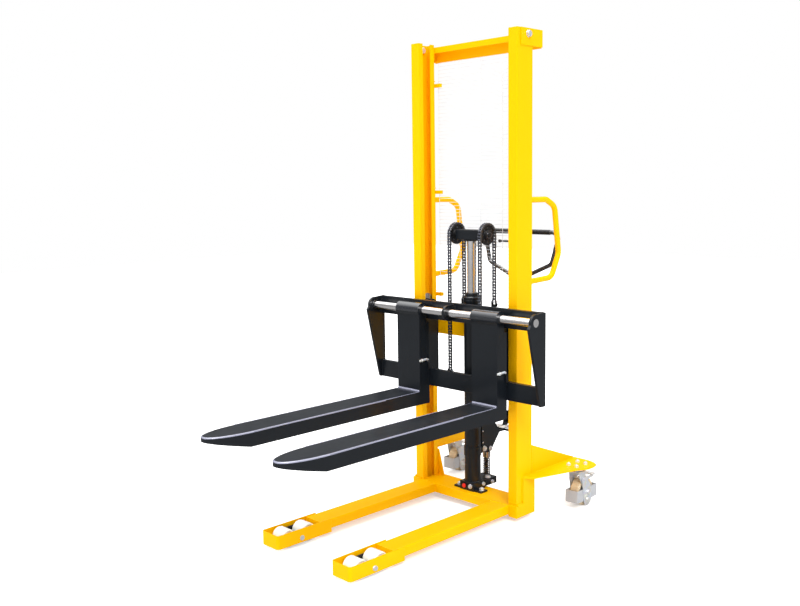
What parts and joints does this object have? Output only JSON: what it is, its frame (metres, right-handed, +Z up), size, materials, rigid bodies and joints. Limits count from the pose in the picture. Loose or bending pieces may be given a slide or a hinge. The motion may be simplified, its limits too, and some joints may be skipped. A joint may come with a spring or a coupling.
{
  "type": "hand pallet stacker",
  "caption": "Manual pallet stacker with a twin-upright mast, hydraulic hand pump, chain-lifted carriage with adjustable forks, straddle legs and braked swivel castors.",
  "frame": {"origin": "on the floor, in the middle of the outline seen from above", "axes": "+Z up, +X to the right across the mast as seen from the forks looking back at the mast, forks towards -Y"},
  "size_m": [0.958, 1.6793, 2.08],
  "materials": {
    "yellow_paint": "gloss",
    "black_paint": "satin",
    "grey_paint": "satin",
    "chrome": "polished",
    "zinc": "satin",
    "machined_steel": "satin",
    "black_steel": "satin",
    "chain_steel": "oiled",
    "mesh_wire": "satin",
    "nylon": "satin",
    "castor_tread": "satin",
    "red_plastic": "gloss"
  },
  "bodies": {
    "root": {"left_upright": "yellow_paint", "right_upright": "yellow_paint", "top_beam": "yellow_paint", "end_plates": "yellow_paint", "mid_beam": "yellow_paint", "base_beam": "yellow_paint", "legs": "yellow_paint", "toe_boxes": "yellow_paint", "frame_gussets": "yellow_paint", "castor_plates": "yellow_paint", "frame_bolts": "zinc", "guard_mesh": "mesh_wire", "guard_tabs": "yellow_paint", "grab_handles": "yellow_paint", "cylinder_tube": "black_paint", "cylinder_head": "black_paint", "rear_chains": "chain_steel", "rear_chain_anchors": "black_steel", "castor_mounts": "zinc", "pump_base": "black_paint", "relief_plug": "red_plastic", "pump_spring": "black_steel"},
    "crosshead": {"piston_rod": "chrome", "piston": "machined_steel", "crosshead": "black_paint", "wheel_chains": "chain_steel", "front_chains": "chain_steel"},
    "left_chain_wheel": {"left_chain_wheel": "black_steel"},
    "right_chain_wheel": {"right_chain_wheel": "black_steel"},
    "carriage": {"front_chain_anchors": "black_steel", "upper_crossbar": "black_paint", "lower_crossbar": "black_paint", "side_plates": "black_paint", "fork_shaft": "chrome", "roller_plates": "black_paint", "roller_pins": "machined_steel"},
    "upper_guide_rollers": {"upper_guide_rollers": "machined_steel"},
    "lower_guide_rollers": {"lower_guide_rollers": "machined_steel"},
    "left_fork": {"left_fork": "black_paint", "left_lock_pin": "zinc"},
    "right_fork": {"right_fork": "black_paint", "right_lock_pin": "zinc"},
    "left_bogie": {"left_bogie": "black_steel"},
    "right_bogie": {"right_bogie": "black_steel"},
    "left_front_load_roller": {"left_front_load_roller": "nylon"},
    "left_rear_load_roller": {"left_rear_load_roller": "nylon"},
    "right_front_load_roller": {"right_front_load_roller": "nylon"},
    "right_rear_load_roller": {"right_rear_load_roller": "nylon"},
    "left_castor": {"left_castor_yoke": "zinc", "left_foot_guard": "grey_paint"},
    "right_castor": {"right_castor_yoke": "zinc", "right_foot_guard": "grey_paint"},
    "left_castor_wheel": {"left_castor_wheel": "castor_tread"},
    "right_castor_wheel": {"right_castor_wheel": "castor_tread"},
    "left_brake": {"left_brake_pedal": "zinc"},
    "right_brake": {"right_brake_pedal": "zinc"},
    "pump_plunger": {"pump_plunger": "machined_steel"},
    "pump_lever": {"pump_lever": "black_paint", "tiller": "black_paint"},
    "lowering_lever": {"lowering_lever": "black_paint"}
  },
  "joints": [
    {"name": "crosshead_slide", "type": "slide", "parent": "root", "child": "crosshead", "axis": [0, 0, 1], "range_m": [-0.22, 0.5375], "deforming": ["rear_chains"]},
    {"name": "carriage_slide", "type": "slide", "parent": "crosshead", "child": "carriage", "axis": [0, 0, 1], "range_m": [-0.22, 0.5375], "deforming": ["front_chains"]},
    {"name": "left_chain_wheel_turn", "type": "hinge", "parent": "crosshead", "child": "left_chain_wheel", "pos_m": [-0.089, 0.43445, 1.229], "axis": [1, 0, 0], "range_deg": [-634, 260]},
    {"name": "right_chain_wheel_turn", "type": "hinge", "parent": "crosshead", "child": "right_chain_wheel", "pos_m": [0.089, 0.43445, 1.229], "axis": [1, 0, 0], "range_deg": [-634, 260]},
    {"name": "upper_guide_rollers_turn", "type": "hinge", "parent": "carriage", "child": "upper_guide_rollers", "pos_m": [0, 0.4247, 0.903], "axis": [1, 0, 0], "range_deg": [-540, 1317]},
    {"name": "lower_guide_rollers_turn", "type": "hinge", "parent": "carriage", "child": "lower_guide_rollers", "pos_m": [0, 0.4247, 0.59], "axis": [1, 0, 0], "range_deg": [-1317, 540]},
    {"name": "left_fork_slide", "type": "slide", "parent": "carriage", "child": "left_fork", "axis": [-1, 0, 0], "range_m": [-0.0095, 0.158]},
    {"name": "right_fork_slide", "type": "slide", "parent": "carriage", "child": "right_fork", "axis": [1, 0, 0], "range_m": [-0.0095, 0.158]},
    {"name": "left_bogie_rock", "type": "hinge", "parent": "root", "child": "left_bogie", "pos_m": [-0.21775, -0.43055, 0.033], "axis": [1, 0, 0], "range_deg": [-4, 4]},
    {"name": "right_bogie_rock", "type": "hinge", "parent": "root", "child": "right_bogie", "pos_m": [0.21775, -0.43055, 0.033], "axis": [1, 0, 0], "range_deg": [-4, 4]},
    {"name": "left_front_load_roller_turn", "type": "hinge", "parent": "left_bogie", "child": "left_front_load_roller", "pos_m": [-0.21775, -0.48155, 0.037], "axis": [1, 0, 0], "continuous": true},
    {"name": "left_rear_load_roller_turn", "type": "hinge", "parent": "left_bogie", "child": "left_rear_load_roller", "pos_m": [-0.21775, -0.37955, 0.037], "axis": [1, 0, 0], "continuous": true},
    {"name": "right_front_load_roller_turn", "type": "hinge", "parent": "right_bogie", "child": "right_front_load_roller", "pos_m": [0.21775, -0.48155, 0.037], "axis": [1, 0, 0], "continuous": true},
    {"name": "right_rear_load_roller_turn", "type": "hinge", "parent": "right_bogie", "child": "right_rear_load_roller", "pos_m": [0.21775, -0.37955, 0.037], "axis": [1, 0, 0], "continuous": true},
    {"name": "left_castor_swivel", "type": "hinge", "parent": "root", "child": "left_castor", "pos_m": [-0.373, 0.71845, 0.17], "axis": [0, 0, 1], "continuous": true},
    {"name": "left_castor_roll", "type": "hinge", "parent": "left_castor", "child": "left_castor_wheel", "pos_m": [-0.37499, 0.7564, 0.0635], "axis": [0.9986, 0.0523, 0], "continuous": true},
    {"name": "left_brake_press", "type": "hinge", "parent": "left_castor", "child": "left_brake", "pos_m": [-0.37373, 0.73243, 0.1285], "axis": [0.9986, 0.0523, 0], "range_deg": [-12, 0]},
    {"name": "right_castor_swivel", "type": "hinge", "parent": "root", "child": "right_castor", "pos_m": [0.373, 0.71845, 0.17], "axis": [0, 0, 1], "continuous": true},
    {"name": "right_castor_roll", "type": "hinge", "parent": "right_castor", "child": "right_castor_wheel", "pos_m": [0.37101, 0.7564, 0.0635], "axis": [0.9986, 0.0523, 0], "continuous": true},
    {"name": "right_brake_press", "type": "hinge", "parent": "right_castor", "child": "right_brake", "pos_m": [0.37227, 0.73243, 0.1285], "axis": [0.9986, 0.0523, 0], "range_deg": [-12, 0]},
    {"name": "pump_lever_press", "type": "hinge", "parent": "root", "child": "pump_lever", "pos_m": [0, 0.48645, 0.248], "axis": [-1, 0, 0], "range_deg": [0, 22], "stiffness_Nm_per_rad": 50, "springref_deg": -25.78},
    {"name": "plunger_stroke", "type": "slide", "parent": "root", "child": "pump_plunger", "axis": [0, 0, -1], "range_m": [0, 0.0185], "deforming": ["pump_spring"]},
    {"name": "lowering_lever_pull", "type": "hinge", "parent": "pump_lever", "child": "lowering_lever", "pos_m": [0, 0.78482, 1.17918], "axis": [0, 0.9962, -0.0872], "range_deg": [0, 12], "stiffness_Nm_per_rad": 0.8, "springref_deg": -22.92}
  ],
  "couplings": [
    {"joint": "carriage_slide", "follows": "crosshead_slide", "ratio": 1},
    {"joint": "left_chain_wheel_turn", "follows": "crosshead_slide", "rad_per_m": -20.555},
    {"joint": "right_chain_wheel_turn", "follows": "crosshead_slide", "rad_per_m": -20.555},
    {"joint": "upper_guide_rollers_turn", "follows": "crosshead_slide", "rad_per_m": 42.689},
    {"joint": "lower_guide_rollers_turn", "follows": "crosshead_slide", "rad_per_m": -42.689},
    {"joint": "plunger_stroke", "follows": "pump_lever_press", "m_per_rad": 0.044}
  ]
}
